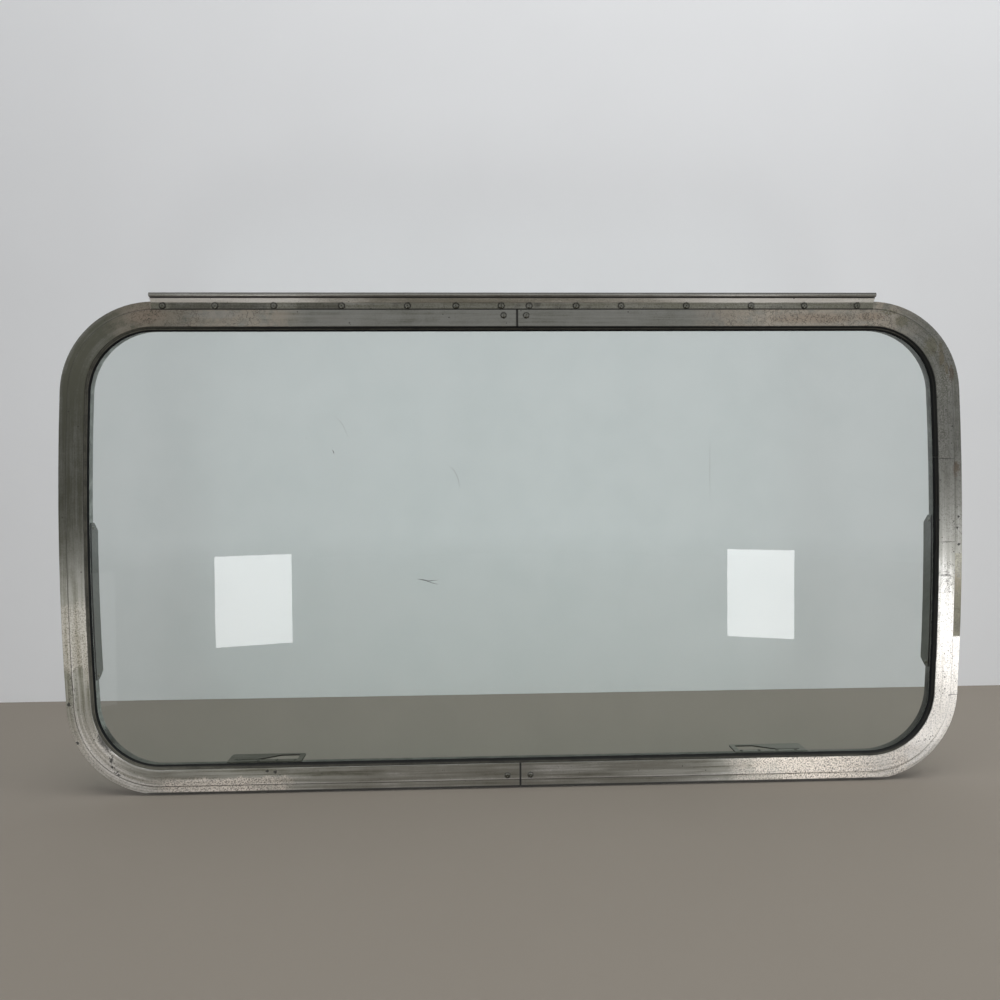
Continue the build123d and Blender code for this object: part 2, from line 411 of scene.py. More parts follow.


# Marks of age on the rails, and a darker patch by the seal, as ovals: middle x, middle z, width and
# height, in millimetres
pink_corrosion = ((-408, -11, 48, 20), (400, -13, 40, 10), (330, -15, 110, 12))
olive_film = ((421, -8, 24, 7), (434, -18, 16, 14), (470, -45, 16, 22))
mustard_corrosion = ((481.5, -57, 7, 26), (487, -72, 5, 14))
rust_spots = ((493.5, -77, 7, 18), (500, -184, 9, 17))
pale_streaks = ((-333, -10, 66, 9), (-208, -14, 40, 6), (60, -522, 90, 3), (150, -527, 120, 6))
pale_specks = ((420, -11, 26, 14), (484, -91, 30, 52), (481, -150, 24, 90))
dark_chips = (
    (-492, -482, 4, 4),
    (-447, -518, 6, 3),
    (-501, -439, 4, 5),
    (-284, -517, 4.5, 3.5),
    (-275, -518, 4, 4.5),
    (503.5, -240.5, 3, 4),
    (502, -253, 3, 3),
    (504, -272, 3, 3),
)
cross_scratches = ((487, -174, 22, 1.3), (490, -269, 20, 1.3), (487, -307, 16, 2), (497, -445, 14, 1.5))
# Darker by the seal at the lower left corner
dark_seal_corner = ((-461, -480, 20, 34),)
cracked_runs = ((492, -312, 16, 40), (-496, -420, 12, 60), (-462, -477, 14, 24))
flaked_chips = ((-455, -500, 5, 10), (-453, -508, 6, 10), (-449, -516, 8, 6))
residue_rust = ((500, -313, 14, 26),)

# Stretches of wear, and of painted reflections: start, stop and softness, in millimetres
crusty_below = ((-380, -290, 50), (280, 430, 55))
warm_above = ((-420, -270, 40), (240, 410, 60))
# Brighter stretches of the top rail: painted reflections
painted_reflection_above = ((280, 390, 60), (-330, -265, 40))
# Brighter stretches of the hinge's web: painted reflections
hinge_painted_reflection_runs = ((-400, -270, 80), (210, 340, 90))
hinge_dark_runs = ((-380, -340, 5), (-326, -278, 5), (-242, -199, 5))
residue_run = (-377, -283, 1.5)

# Stretches of the bottom rail, each with the share of its brightness that weathering and painted shade
# leave
foot_runs = (((10, 190, 40), 0.73), ((270, 390, 40), 0.97), ((440, 600, 40), 0.74))


class Rail(Metal):
    """The bent rails: smooth olive oxide above, brighter and speckled below, with the marks of age."""

    def __init__(self):
        super().__init__("weathered_rail", rail_inset, rail_outward)
        g = self.graph
        self.x, y, self.z = g.split(self.place)
        ragged = g.around(self.cloud, 70 * MM)
        self.ragged_x = g.math("ADD", self.x, ragged)
        self.ragged_z = g.math("ADD", self.z, ragged)
        self.by_seal = g.math("ADD", self.across, g.around(self.cloud, 16 * MM))
        self.height = g.ease(self.z, bottom_z, top_z)
        self.left = g.ease(self.x, -half_width, -half_width / 2, 1.0, 0.0)
        self.right = g.ease(self.x, half_width / 2, half_width)
        self.lower = g.ease(self.ragged_z, -420 * MM, -280 * MM, 1.0, 0.0)
        self.lowest = g.ease(self.z, -490 * MM, -430 * MM, 1.0, 0.0)
        self.below = g.ease(self.z, bottom_z + 34 * MM, bottom_z + 50 * MM, 1.0, 0.0)
        normal = g.normal()
        facing = g.split(normal)
        inward = g.ease(g.dot(normal, self.outward), -40 * MM, -10 * MM, 1.0, 0.0)
        self.front = g.ease(facing[AXES["y"]], 0.3, 0.7, 1.0, 0.0)
        self.facing_up = g.ease(facing[AXES["z"]], 0.2, 0.7)
        self.inside = g.product(inward, g.ease(y, 1.0 * MM, 5.0 * MM))
        self.smooth_margin = g.product(
            self.lower,
            g.band(self.x, -430 * MM, -170 * MM, 30 * MM),
            g.ease(self.by_seal, 15 * MM, 20 * MM),
        )

    def speckled(self):
        """Where the face is crusted: in patches along the bottom, and fainter up the sides."""
        g = self.graph
        patches = g.product(
            self.runs(self.ragged_x, crusty_below), g.ease(self.patch, 0.3, 0.55, 0.5, 1.0)
        )
        crusty_left = g.most(g.band(self.ragged_z, -395 * MM, -335 * MM, 15 * MM), self.lowest)
        crusty = g.most(
            g.product(self.below, patches),
            g.product(self.lower, self.right, 0.4),
            g.product(crusty_left, self.left, 0.34),
        )
        return g.product(crusty, g.math("SUBTRACT", 1.0, self.smooth_margin), self.front)

    def pitted(self, speckle):
        """Few pits, more of them in the crust and most at the right."""
        g = self.graph
        at_right = g.product(self.right, g.value(self.lower, 0.4, 0.6))
        return g.total(0.04, g.math("MULTIPLY", speckle, 0.25), at_right)

    def shine(self):
        """From dull oxide above, most of all at the sides, to bright metal low at the right: partly the
        metal's own wear, partly painted reflections, brighter low at the corners and at the right.
        """
        g = self.graph
        back_shine = 0.42
        # A painted highlight along the rounded shoulder of the step, low down
        shoulder_highlight = g.band(self.across, flange_width + 0.2 * MM, flange_width + 1.4 * MM, 0.5 * MM)
        not_high = g.ease(self.ragged_z, -385 * MM, -180 * MM, 1.0, 0.0)
        shine = g.total(
            0.54,
            g.math("MULTIPLY", self.height, -0.15),
            g.product(self.height, self.left, -0.34),
            g.product(self.height, self.right, -0.27),
            g.product(self.height, g.ease(self.x, 0.0, 200 * MM), 0.06),
            g.math("MULTIPLY", self.right, 0.1),
            g.product(not_high, self.right, 0.4),
            g.product(self.lower, self.left, -0.16),
            g.product(self.lowest, self.left, 0.54),
            g.product(self.lowest, self.right, 0.15),
            g.product(self.lower, g.around(self.streak, 0.6)),
            g.product(self.lowest, g.most(self.left, self.right), g.around(self.streak, 0.6)),
            g.product(self.lower, shoulder_highlight, 0.35),
            g.math("MULTIPLY", self.smooth_margin, -0.2),
            g.math("MULTIPLY", self.inside, -0.4),
        )
        return g.value(self.front, back_shine, shine)

    def warm_corrosion(self):
        """Brownish stretches of the top rail, paler at the right: a mask and a colour."""
        g = self.graph
        above = g.ease(self.z, -38 * MM, -30 * MM)
        uneven = g.ease(g.total(self.cloud, g.around(self.speck, 0.5)), 0.25, 0.6)
        mask = g.product(above, self.runs(self.x, warm_above), uneven)
        return mask, g.colour(g.ease(self.x, -100 * MM, 200 * MM), warm_left, warm_right)

    def residue(self):
        """What sticks to the flange at the right, pale on top, dirty below: a mask and a colour."""
        g = self.graph
        frayed_z = g.math("ADD", self.z, g.around(self.speck, 3 * MM))
        mask = g.product(
            self.runs(frayed_z, (residue_run,)),
            g.ease(self.x, 0.0, half_width / 2),
            g.ease(self.across, flange_width - 0.9 * MM, flange_width - 0.3 * MM, 1.0, 0.0),
            g.ease(self.ragged_z, -335 * MM, -285 * MM, 0.9, 0.55),
        )
        colour = g.colour(g.ease(self.ragged_z, -345 * MM, -285 * MM), residue_low, residue_high)
        colour = g.colour(g.product(self.blots(residue_rust), 0.5), colour, residue_rust_colour)
        dirty = g.ease(g.total(self.cloud, g.around(self.speck, 1.0)), 0.48, 0.62, 0.0, 0.7)
        return mask, g.colour(dirty, colour, residue_dirt_colour)

    def inside_colour(self):
        """The legs behind the seal: painted light on the left leg, painted shade on the right, and dark
        where they face up.
        """
        g = self.graph
        return g.colour(self.facing_up, g.colour(self.left, shaded_inside_right, lit_inside_left), inside_ledge)

    def stains(self):
        """Stains as a mask, a colour and a metallic share: those in front, then the painted light and
        shade of the legs inside.
        """
        g = self.graph
        warm, warm_colour = self.warm_corrosion()
        residue, residue_colour = self.residue()
        pink = self.blots(pink_corrosion)
        lined = g.product(g.most(warm, g.product(self.right, 0.6)), g.ease(self.patch, 0.35, 0.6))
        cracks = g.product(self.scribbles(170.0), g.most(lined, pink, self.blots(cracked_runs)))
        pale_grains = g.product(g.ease(self.grains, 0.52, 0.62), self.blots(pale_specks))
        in_front = (
            (g.product(warm, 0.75), warm_colour, 0.85),
            (g.product(pink, g.ease(self.speck, 0.25, 0.6), 0.75), pink_colour, 0.6),
            (g.product(self.blots(olive_film), 0.5), olive_colour, 0.6),
            (g.product(self.blots(pale_streaks), 0.5), pale_streak_colour, 0.6),
            (g.product(self.blots(mustard_corrosion, 1.6), 0.6), mustard_colour, 0.3),
            (g.product(self.blots(rust_spots, 1.6), 0.6), rust_colour, 0.3),
            (g.product(cracks, 0.75), crack_colour, 0.3),
            (g.product(pale_grains, 0.75), pale_grain_colour, 0.6),
            (residue, residue_colour, 0.2),
        )
        stains = [(g.product(mask, self.front), colour, share) for mask, colour, share in in_front]
        stains.append((g.product(self.inside, 0.8), self.inside_colour(), 0.3))
        return stains

    def dirt_and_shade(self):
        """Dirt at the joints, round the rivets and in chips and scratches; dirt and painted shade along
        the step and the foot; painted shade at the seal's edge and on the low right leg.
        """
        g = self.graph
        heads = [(x * MM, face_y, z * MM) for x, z in joint_rivets]
        patchy = g.ease(self.cloud, 0.3, 0.6)
        off_joint = g.math("ABSOLUTE", g.math("SUBTRACT", self.x, joint_x))
        joint_line = g.ease(off_joint, 0.8 * MM, 1.6 * MM, 1.0, 0.0)
        # Painted shade along the face's edge by the seal
        seal_edge_shade = g.ease(self.across, face_inset - 0.8 * MM, face_inset - 0.2 * MM)
        # Dirt and painted crease shade along the step
        step_line = g.band(self.across, flange_width - 0.7 * MM, flange_width + 0.3 * MM, 0.4 * MM)
        step_dirt_and_shade = g.value(self.height, g.value(self.right, 0.7, 0.35), g.value(self.left, 0.75, 0.2))
        # A painted contact shadow, with dirt, along the bottom edge
        foot_shadow_and_dirt = g.ease(self.z, bottom_z + 1.7 * MM, bottom_z + 2.6 * MM, 1.0, 0.0)
        # Painted shade on the right leg low down
        shaded_leg = g.product(self.right, g.ease(self.z, -440 * MM, -390 * MM, 1.0, 0.0), self.inside)
        flaking = g.ease(g.noise(self.place, 260.0, 4.0, 0.7), 0.46, 0.52)
        grime_and_shade = g.most(
            g.product(seal_edge_shade, patchy, 0.5),
            g.product(step_line, step_dirt_and_shade, g.value(patchy, 0.5, 1.0)),
            g.product(shaded_leg, 0.9),
            g.product(joint_line, 0.9),
            g.product(foot_shadow_and_dirt, 0.95),
            g.product(self.rings(heads, joint_head, 1.3 * MM), 0.85),
            g.product(self.blots(dark_chips, 0.9), 0.9),
            g.product(flaking, self.blots(flaked_chips, 0.6), 0.9),
            g.product(self.blots(cross_scratches, 0.5), 0.6),
            g.product(self.blots(dark_seal_corner), g.ease(self.by_seal, 21 * MM, 26 * MM), 0.8),
        )
        return g.product(grime_and_shade, g.value(self.front, 0.4, 1.0))

    def weather_and_shade_share(self):
        """The share of its brightness that weathering and painted shade leave the metal: more below than
        above.
        """
        g = self.graph
        to_right = g.ease(self.x, -200 * MM, 200 * MM)
        high_at_left = g.ease(self.z, -390 * MM, -210 * MM)
        high_at_right = g.ease(self.z, -300 * MM, -150 * MM)
        side = g.value(to_right, 0.36, 0.43)
        top = g.value(self.runs(self.x, painted_reflection_above), 0.49, 0.61)
        above = g.value(g.ease(self.z, -150 * MM, -40 * MM), side, top)
        foot = 0.83
        for stretch, share in foot_runs:
            foot = g.value(self.runs(self.x, (stretch,)), foot, share)
        low = g.value(self.below, 0.96, foot)
        in_front = g.value(g.value(to_right, high_at_left, high_at_right), low, above)
        return g.value(self.inside, g.value(self.front, 0.6, in_front), 1.0)


def frame_metal():
    rail = Rail()
    speckle = rail.speckled()
    pitting = rail.pitted(speckle)
    return rail.finish(rail.shine(), speckle, pitting, rail.stains(), rail.dirt_and_shade(), rail.weather_and_shade_share())


def hinge_across(g, place, outward):
    """Up and back across the hinge, as its web leans; the plates and rivets use it too."""
    x, y, z = g.split(place)
    return g.math("ADD", z, g.math("MULTIPLY", y, 0.7))


def hinge_outward(g, place):
    """Straight up: the hinge runs along x."""
    return g.join(0.0, 0.0, 1.0)


def hinge_metal():
    """The hinge rail: grimy and pitted on its flange and round the rivets, with painted shade in the
    groove under the bead and on its top, and painted shadow with dirt along its foot.
    """
    m = Metal("weathered_hinge", hinge_across, hinge_outward)
    g = m.graph
    x, y, z = g.split(m.place)
    heads = [(x * MM, hinge_flange_y, hinge_rivet_z * MM) for x in hinge_rivet_x]
    bead_foot = hinge_high.z - bead_width
    web_foot = hinge_flange_top + 1.5 * MM
    flange = g.ease(z, hinge_flange_top, web_foot, 1.0, 0.0)
    facing_up = g.ease(g.split(g.normal())[AXES["z"]], 0.1, 0.5)
    patchy = g.ease(m.cloud, 0.5, 0.75)
    bead = g.ease(z, bead_foot, bead_foot + 1.0 * MM)
    web = g.band(z, web_foot, bead_foot - 1.0 * MM, 1.0 * MM)
    shine = g.total(
        0.7,
        # The web painted brighter where reflections fall
        g.product(web, m.runs(x, hinge_painted_reflection_runs), 0.45),
        g.math("MULTIPLY", flange, -0.58),
        g.math("MULTIPLY", bead, -0.1),
    )
    pitting = g.total(0.06, g.math("MULTIPLY", flange, 0.2))
    # Painted shadow with dirt along the hinge's foot
    foot_shadow_and_dirt = g.ease(z, hinge_low.z + 0.2 * MM, hinge_low.z + 1.0 * MM, 1.0, 0.0)
    # Painted shade in the groove under the bead
    groove_shade = g.band(z, bead_foot - 0.9 * MM, bead_foot + 0.3 * MM, 0.4 * MM)
    grime_and_shade = g.most(
        g.product(foot_shadow_and_dirt, 0.85),
        g.product(groove_shade, 0.85),
        g.product(m.rings(heads, hinge_head, 1.5 * MM), 0.85),
        g.product(flange, m.scribbles(170.0), patchy, 0.7),
        g.product(flange, patchy, 0.35),
    )
    # Painted shade on the surfaces that face up
    painted_top_shade = (g.product(facing_up, 0.9), top_shade_colour, 0.2)
    ragged_x = g.math("ADD", x, g.around(m.cloud, 12 * MM))
    # How much of its brightness weathering and painted shade leave the hinge, least on the flange's dark
    # patches
    clean_weather_and_shade = g.ease(x, -100 * MM, 200 * MM, 0.6, 0.72)
    flange_weather_and_shade = g.value(m.runs(ragged_x, hinge_dark_runs), clean_weather_and_shade, 0.38)
    weather_and_shade = g.value(flange, g.value(bead, 1.0, 0.6), flange_weather_and_shade)
    return m.finish(shine, 0.1, pitting, (painted_top_shade,), grime_and_shade, weather_and_shade)


def hardware_metal(name, tone, dark_edges, metal_share=0.3, gloss=0.5):
    """Dull sheet metal, with dark cut edges where dark_edges, a function of the metal, puts them; on the
    keepers' slot walls the dark is painted shade.
    """
    m = Metal(name, hinge_across)
    g = m.graph
    sheet = (g.math("ADD", 0.85, g.around(m.cloud, 0.4)), tone, metal_share)
    edges = (g.math("MULTIPLY", dark_edges(m), 0.95), cut_edge_colour, 0.0)
    return m.finish(0.2, 0.0, 0.1, (sheet, edges), roughness=0.5, anisotropy=0.0, gloss=gloss)


def looking_away(m, axis, start=0.4, stop=0.8):
    """1 where the surface looks away from an axis, 0 where it looks along it."""
    g = m.graph
    return g.ease(g.math("ABSOLUTE", g.split(g.normal())[axis]), start, stop, 1.0, 0.0)


def stay_edges(m):
    return looking_away(m, AXES["x"])


def keeper_slot_shade(m):
    """The walls of the keepers' slots, behind the rear leg of the frame, painted dark as shade."""
    g = m.graph
    y = g.split(m.place)[AXES["y"]]
    in_slot = g.ease(y, keeper_low.y + 1 * MM, keeper_low.y + 4 * MM)
    return g.product(looking_away(m, AXES["z"]), in_slot)


def joiner_edges(m):
    return looking_away(m, AXES["y"])


def rivet_metal(name, shine, axis, painted_shade=0.0, weather_and_shade=None):
    """Rivet heads dark on the rim where they look away from their own axis, dirt and painted shade, with
    painted shade over the whole head where asked.
    """
    m = Metal(name, hinge_across)
    g = m.graph
    rim = g.math("MULTIPLY", looking_away(m, axis, 0.25, 0.7), 0.85)
    grime_and_shade = g.most(rim, painted_shade)
    return m.finish(shine, 0.0, 0.15, grime_and_shade=grime_and_shade, weather_and_shade=weather_and_shade, roughness=0.26, anisotropy=0.0)


def seal_rubber():
    """Aged black rubber, paler on its first ridge and along its valley, more so at the left, at the top
    and along the bottom: dust and painted highlights on the lip.
    """
    g = Graph("aged_rubber")
    place = g.place()
    x, y, z = g.split(place)
    inset = rail_inset(g, place, rail_outward(g, place))
    valley = face_inset + lip_valley
    first_ridge = g.ease(inset, valley - 1.0 * MM, valley - 0.2 * MM, 1.0, 0.0)
    valley_line = g.band(inset, valley - 0.4 * MM, valley + 0.3 * MM, 0.3 * MM)
    left = g.ease(x, -half_width, -half_width / 2, 1.0, 0.0)
    below = g.ease(z, bottom_z + 30 * MM, bottom_z + 60 * MM, 1.0, 0.0)
    above = g.ease(z, top_z - 60 * MM, top_z - 35 * MM)
    dust = g.noise(place, 60.0, 4.0, 0.65)
    speck = g.noise(place, 700.0, 2.0)
    patchy = g.ease(g.total(dust, g.around(speck, 0.4)), 0.25, 0.65, 0.5, 1.0)
    # Pale lines on the ridge and in the valley: dust and painted highlights, painted lighter at the left
    ridge_dust_and_highlight = g.total(0.04, g.math("MULTIPLY", left, 0.6), g.math("MULTIPLY", below, 0.38))
    valley_dust_and_highlight = g.total(0.12, g.math("MULTIPLY", left, 0.65), g.math("MULTIPLY", above, 0.5))
    tip_dust = g.math("MULTIPLY", below, 0.04)
    share = g.most(g.product(first_ridge, ridge_dust_and_highlight), g.product(valley_line, valley_dust_and_highlight), tip_dust)
    share = g.product(share, patchy)
    g.principled(
        {
            "Base Color": g.colour(share, rubber_colour, rubber_dust_and_highlight),
            "Roughness": g.value(share, 0.5, 0.8),
            "Specular IOR Level": 0.15,
            "Normal": g.bump(g.total(speck, dust), relief_depth),
        }
    )
    return g.owner


def pane_glass():
    """Clear float glass with a faint green cast, a little smeared."""
    g = Graph("float_glass")
    place = g.place()
    smear = g.noise(place, 14.0, 4.0, 0.65)
    tint = g.colour(g.ease(smear, 0.35, 0.7), glass_clean, glass_smeared)
    shader = g.principled(
        {
            "Base Color": tint,
            "Roughness": g.ease(smear, 0.45, 0.8, 0.0, 0.02),
            "IOR": 1.5,
            "Transmission Weight": 1.0,
        }
    )
    clear = g.add("ShaderNodeBsdfTransparent", {"Color": glass_for_lamps}).outputs[0]
    lamp_ray = g.add("ShaderNodeLightPath", {}).outputs["Is Shadow Ray"]
    mixed = g.add("ShaderNodeMixShader", {0: lamp_ray, 1: shader, 2: clear}).outputs[0]
    g.feed(g.end.inputs["Surface"], mixed)
    return g.owner


def mark_film(name, tone):
    """Packed dirt or a thin mark on the glass, uneven in tone."""
    g = Graph(name)
    uneven = g.noise(g.place(), 900.0, 2.0)
    darker = tuple(0.6 * part for part in tone)
    g.principled({"Base Color": g.colour(uneven, darker, tone), "Roughness": 0.7})
    return g.owner


def dress(node_names, material):
    for name in node_names:
        piece = nodes[name]
        piece.data.materials.clear()
        piece.data.materials.append(material)


dress(("frame_left", "frame_right"), frame_metal())
dress(("hinge_rail",), hinge_metal())
for side, tone in (("left", lit_left_stay_tone), ("right", right_stay_tone)):
    dress((f"stay_plate_{side}",), hardware_metal(f"{side}_stay_sheet", tone, stay_edges))
for side, tone in (("left", left_keeper_tone), ("right", lit_right_keeper_tone)):
    matt = hardware_metal(f"{side}_keeper_sheet", tone, keeper_slot_shade, metal_share=0.0, gloss=0.1)
    dress((f"catch_keeper_{side}",), matt)
dress(("joiner_top", "joiner_bottom"), hardware_metal("joiner_bar", right_stay_tone, joiner_edges))
dress(("glazing_seal",), seal_rubber())
dress(("glass_pane",), pane_glass())


pieces = []


def add_piece(name, mesh, material):
    """Put a finished mesh into the scene, as a piece that rides on the window."""
    bmesh.ops.recalc_face_normals(mesh, faces=mesh.faces)
    data = bpy.data.meshes.new(name)
    mesh.to_mesh(data)
    mesh.free()
    data.materials.append(material)
    piece = bpy.data.objects.new(name, data)
    bpy.context.scene.collection.objects.link(piece)
    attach(piece, "root")
    pieces.append(piece)
    return piece


# Rivets: domed heads with a small dimple left by the pulled stem
def lathe(mesh, profile, centre, axis, steps=28):
    """Add a turned solid: profile is (radius, height) pairs, from one pole of the axis to the other."""
    turn = Vector(axis).to_track_quat("Z", "Y")
    rings = []
    for radius, height in profile:
        count = steps if radius > 0 else 1
        ring = []
        for step in range(count):
            angle = 2 * math.pi * step / count
            local = Vector((radius * math.cos(angle), radius * math.sin(angle), height))
            ring.append(mesh.verts.new(centre + turn @ local))
        rings.append(ring)
    for lower, upper in zip(rings, rings[1:]):
        for step in range(steps):
            after = (step + 1) % steps
            corners = [lower[step % len(lower)], lower[after % len(lower)]]
            corners += [upper[after % len(upper)], upper[step % len(upper)]]
            mesh.faces.new(list(dict.fromkeys(corners)))


def head_profile(radius, height):
    """A rivet head from its seat, sunk a little, over the rim and the dome into the dimple."""
    sunk = 0.15 * MM
    rim = 0.18
    dimple = 0.3 * radius
    profile = [(0, -sunk), (radius, -sunk), (radius, rim * height)]
    rounds = 7
    for step in range(1, rounds):
        angle = step / rounds * math.pi / 2
        reach = dimple + (radius - dimple) * math.cos(angle)
        profile.append((reach, height * (rim + (1 - rim) * math.sin(angle))))
    profile += [(dimple, height), (0.8 * dimple, 0.75 * height), (0.7 * dimple, 0.55 * height)]
    return profile + [(0, 0.5 * height)]


def rivets(name, seats, head, material):
    """Join rivets into one piece, from (place, axis) pairs, each a little askew and off in size."""
    radius, height = head
    mesh = bmesh.new()
    for place, axis in seats:
        tilt = Vector((random.uniform(-0.06, 0.06) for _ in range(3)))
        size = random.uniform(0.94, 1.04)
        lathe(mesh, head_profile(radius * size, height * size), Vector(place), Vector(axis) + tilt)
    piece = add_piece(name, mesh, material)
    piece.data.shade_smooth()


# Front rivet heads darkened by weathering and painted shade
front_finish = rivet_metal("front_rivet_heads", 0.25, AXES["y"], weather_and_shade=0.45)
stay_finish = rivet_metal("stay_rivet_heads", 0.15, AXES["x"])
# Keeper rivet heads painted mostly dark, as painted shade
keeper_finish = rivet_metal("keeper_rivet_heads", 0.1, AXES["z"], 0.8)
forward = (0, -1, 0)
backward = (0, 1, 0)
rivets(
    "hinge_rivets",
    [((x * MM, hinge_flange_y, hinge_rivet_z * MM), forward) for x in hinge_rivet_x],
    hinge_head,
    front_finish,
)
rivets(
    "hinge_rivet_tails",
    [((x * MM, 0.0, hinge_rivet_z * MM), backward) for x in hinge_rivet_x],
    hinge_tail,
    front_finish,
)
rivets(
    "joint_rivets",
    [((x * MM, face_y, z * MM), forward) for x, z in joint_rivets],
    joint_head,
    front_finish,
)


def stay_rivet_seats():
    """Near both ends of each stay plate, on the face that looks across the window."""
    leg_to_plate = 32 * MM
    end_gap = 5 * MM
    rise_y = 3.2 * MM
    seats = []
    for z in (stay_low.z + end_gap, stay_high.z - end_gap):
        x = half_width - leg_to_plate - (z - middle_z) ** 2 / 2 / side_radius
        for side in (-1, 1):
            seats.append(((side * x, stay_low.y + rise_y, z), (-side, 0, 0)))
    return seats


rivets("stay_rivets", stay_rivet_seats(), stay_head, stay_finish)
keeper_foot_middle = keeper_low.y + 3 * MM
rivets(
    "keeper_rivets",
    [
        ((side * x * MM, keeper_foot_middle, keeper_high.z), (0, 0, 1))
        for side in (-1, 1)
        for x in keeper_rivet_x
    ],
    keeper_head,
    keeper_finish,
)


# Thin strips: dirt packed in the frame's joints, and marks on the front of the pane
def strip(mesh, sections):
    """Add a closed strip through sections, each a loop of the same number of corners."""
    loops = [[mesh.verts.new(corner) for corner in section] for section in sections]
    count = len(loops[0])
    for first, second in zip(loops, loops[1:]):
        for corner in range(count):
            after = (corner + 1) % count
            mesh.faces.new((first[corner], first[after], second[after], second[corner]))
    mesh.faces.new(loops[0])
    mesh.faces.new(loops[-1])


def joint_dirt(mesh, edge_z, inward):
    """Fill the gap between the frame's halves, a little below the surface and uneven."""
    half_gap = 0.47 * MM
    thick = 0.8 * MM
    step = 0.6 * MM
    last = face_inset - 0.6 * MM
    inset = 0.5 * MM
    sections = []
    while inset < last:
        on_flange = inset < flange_width
        front = (flange_y if on_flange else face_y) + random.uniform(0.25, 0.5) * MM
        back = front + thick
        z = edge_z + inward * inset
        corners = ((-1, front), (1, front), (1, back), (-1, back))
        sections.append([(joint_x + side * half_gap, y, z) for side, y in corners])
        inset += step
    strip(mesh, sections)


dirt_mesh = bmesh.new()
joint_dirt(dirt_mesh, top_z, -1)
joint_dirt(dirt_mesh, bottom_z, 1)
add_piece("joint_dirt", dirt_mesh, mark_film("packed_dirt", packed_dirt_colour))


def sliver(mesh, points, width):
    """Add a flat sliver to the front of the pane along points (x, z), pointed at both ends."""
    sunk = 0.01 * MM
    thick = 0.03 * MM
    back = Vector((0, pane_front_y + sunk, 0))
    front = Vector((0, pane_front_y - thick, 0))
    line = [Vector((x * MM, 0, z * MM)) for x, z in points]
    sections = []
    for index, point in enumerate(line):
        before = line[max(index - 1, 0)]
        after = line[min(index + 1, len(line) - 1)]
        ahead = (after - before).normalized()
        taper = 0.15 if index in (0, len(line) - 1) else 1.0
        half = Vector((-ahead.z, 0, ahead.x)) * width * taper / 2
        corners = (half + back, back - half, front - half, half + front)
        sections.append([point + corner for corner in corners])
    strip(mesh, sections)


def marks(name, lines, material):
    mesh = bmesh.new()
    for points, width in lines:
        sliver(mesh, points, width * MM)
    add_piece(name, mesh, material)


# Marks on the glass: points (x, z) along each and its width, in millimetres
dark_marks = (
    (((-115, -304.5), (-109, -305.5), (-103, -307), (-92, -306)), 0.9),
    (((-106, -306.5), (-99, -309), (-92, -311)), 0.6),
    (((-208, -159), (-206.5, -161.5), (-206, -164)), 0.9),
    (((-238, -145), (-235, -147)), 0.9),
    (((-284, -158.5), (-282.5, -159.7)), 0.7),
    (((-208, -177), (-207.5, -180)), 0.7),
    (((-236.5, -237.5), (-235.5, -239)), 0.6),
    (((-233.5, -255), (-232.5, -257)), 0.6),
    (((-140, -266.5), (-138, -267.5)), 0.6),
    (((-91.5, -112), (-90, -113)), 0.6),
    (((63, -163), (65, -164.5)), 0.7),
    (((92, -85), (94, -86)), 0.7),
    (((433, -264), (437, -264.3)), 0.5),
    (((441, -264), (448, -264.5)), 0.5),
)
pale_marks = (
    (((-79.5, -178), (-72.8, -182.7), (-68.4, -191.7), (-66.3, -205)), 0.45),
    (((216.7, -151), (216.5, -185), (216.7, -219)), 0.35),
    (((-206, -120), (-196, -131), (-190, -146)), 0.35),
)
marks("dark_glass_marks", dark_marks, mark_film("dark_film", dark_film_colour))
marks("pale_glass_marks", pale_marks, mark_film("pale_film", pale_film_colour))


# Stage: a plain level floor under the window and a pale wall behind it
def stage_sheet(name, corners, material):
    data = bpy.data.meshes.new(name)
    data.from_pydata(corners, [], [(0, 1, 2, 3)])
    data.materials.append(material)
    sheet = bpy.data.objects.new(name, data)
    bpy.context.scene.collection.objects.link(sheet)
    return sheet


def matt_material(name, tone, clear_share):
    """A matt stage surface that is clear by clear_share, a function of its nodes."""
    g = Graph(name)
    mottle = g.noise(g.place(), 5.0, 3.0)
    darker = tuple(0.95 * part for part in tone)
    shader = g.principled({"Base Color": g.colour(mottle, tone, darker), "Roughness": 0.8})
    clear = g.add("ShaderNodeBsdfTransparent", {}).outputs[0]
    mixed = g.add("ShaderNodeMixShader", {0: clear_share(g), 1: shader, 2: clear}).outputs[0]
    g.feed(g.end.inputs["Surface"], mixed)
    return g.owner


fade_start = 1.5
fade_stop = 4.5


def far_away(g):
    return g.ease(g.length(g.place()), fade_start, fade_stop)


def far_or_from_behind(g):
    return g.most(far_away(g), g.add("ShaderNodeNewGeometry", {}).outputs["Backfacing"])


floor_tone = (0.218, 0.195, 0.165)
wall_tone = (0.875, 0.89, 0.91)
wall_y = 378 * MM
floor_z = bottom_z - 1.4 * MM
reach = 6.0
stage_sheet(
    "floor",
    [(x * reach, y * reach, floor_z) for x, y in ((-1, -1), (1, -1), (1, 1), (-1, 1))],
    matt_material("floor_matt", floor_tone, far_away),
)
wall = stage_sheet(
    "wall",
    [(x * reach, wall_y, floor_z + z * reach) for x, z in ((-1, 0), (1, 0), (1, 1), (-1, 1))],
    matt_material("wall_matt", wall_tone, far_or_from_behind),
)


# Light: a dim surround, a wide box above, and small low boxes in front and at the sides
horizon_level = 0.13
raised_level = 0.47
overhead_level = 0.2
backdrop_level = 0.8
surround_colour = (0.98, 0.985, 1.0, 1.0)


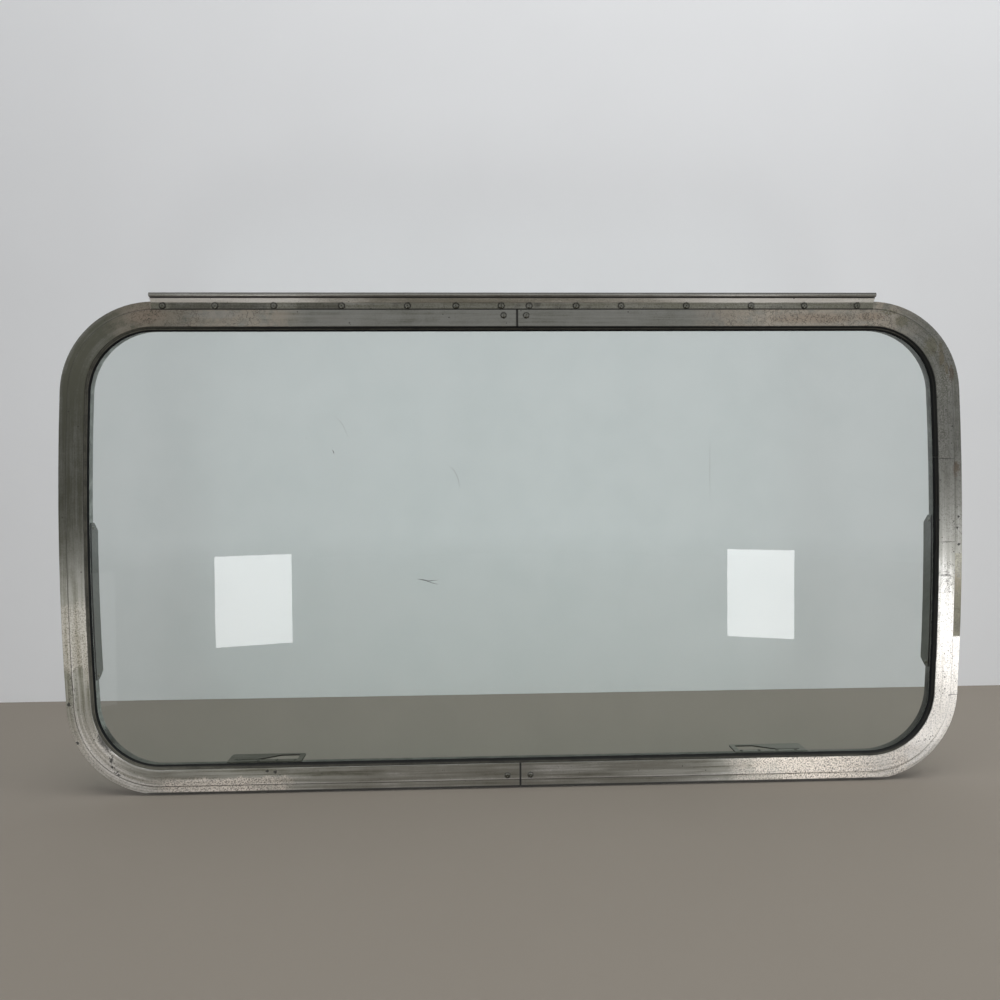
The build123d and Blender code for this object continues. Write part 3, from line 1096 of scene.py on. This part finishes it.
def studio_world():
    """Brightest a little above the horizon; the camera, metal and glass see a pale backdrop instead."""
    g = Graph("studio", bpy.data.worlds, "ShaderNodeOutputWorld")
    x, y, z = g.split(g.add("ShaderNodeTexCoord", {}).outputs["Generated"])
    level = g.total(
        g.ease(z, 0.0, 0.22, horizon_level, raised_level),
        g.ease(z, 0.3, 0.7, 0.0, overhead_level - raised_level),
    )
    path = g.add("ShaderNodeLightPath", {}).outputs
    seen = g.most(path["Is Camera Ray"], path["Is Glossy Ray"], path["Is Transmission Ray"])
    strength = g.value(seen, level, backdrop_level)
    surround = g.add("ShaderNodeBackground", {"Color": surround_colour, "Strength": strength})
    g.feed(g.end.inputs["Surface"], surround.outputs[0])
    bpy.context.scene.world = g.owner


def collection(name, members):
    group = bpy.data.collections.new(name)
    for member in members:
        group.objects.link(member)
    return group


def soft_box(name, place, target, width, height, radiance, lit=None):
    """A rectangular lamp, as bright whatever its size, that lights all or only a collection."""
    data = bpy.data.lights.new(name, "AREA")
    data.shape = "RECTANGLE"
    data.size = width
    data.size_y = height
    data.energy = math.pi * radiance * width * height
    lamp = bpy.data.objects.new(name, data)
    bpy.context.scene.collection.objects.link(lamp)
    lamp.location = place
    lamp.rotation_euler = (Vector(target) - Vector(place)).to_track_quat("-Z", "Y").to_euler()
    lamp.visible_camera = False
    lamp.visible_transmission = False
    lamp.light_linking.receiver_collection = lit
    return lamp


studio_world()
key = soft_box("key", (0.6, -0.7, 2.4), (0.1, 0.0, -0.5), 3.2, 2.2, 4.3)
key.visible_glossy = False
window = (*nodes.values(), *pieces)
lit_low = collection("lit_low", (*window, wall))
rails = collection("rails", (nodes["frame_left"], nodes["frame_right"]))
box_y = -0.5
box_z = floor_z + 0.14
side_z = floor_z + 0.105
rail_z = floor_z + 0.09
soft_box("low_left", (-0.443, box_y, box_z), (-0.3, 0.0, box_z), 0.13, 0.16, 8.0, lit_low)
soft_box("low_right", (0.467, box_y, box_z), (0.3, 0.0, box_z), 0.115, 0.16, 8.5, lit_low)
soft_box("rail_right", (0.525, box_y, rail_z), (0.3, 0.0, rail_z), 0.1, 0.12, 13.0, rails)
soft_box("side_right", (0.755, -0.22, side_z), (0.48, 0.0, side_z), 0.24, 0.21, 1.5, lit_low)
soft_box("side_left", (-0.7, -0.3, side_z), (-0.49, 0.0, side_z), 0.2, 0.21, 0.6, lit_low)


# Camera, at the height and the slight turn from which the window is seen: pixels, metres and degrees
picture_side = 1000
focal_length = 751
camera_place = (-49.8 * MM, -842.4 * MM, -196.9 * MM)
camera_turn = (88.651, 0.459, -1.931)
camera_data = bpy.data.cameras.new("camera")
camera_data.sensor_width = 36
camera_data.lens = camera_data.sensor_width * focal_length / picture_side
camera = bpy.data.objects.new("camera", camera_data)
camera.location = camera_place
camera.rotation_euler = Euler([math.radians(angle) for angle in camera_turn])
bpy.context.scene.collection.objects.link(camera)
bpy.context.scene.camera = camera
bpy.context.scene.view_settings.view_transform = "Standard"
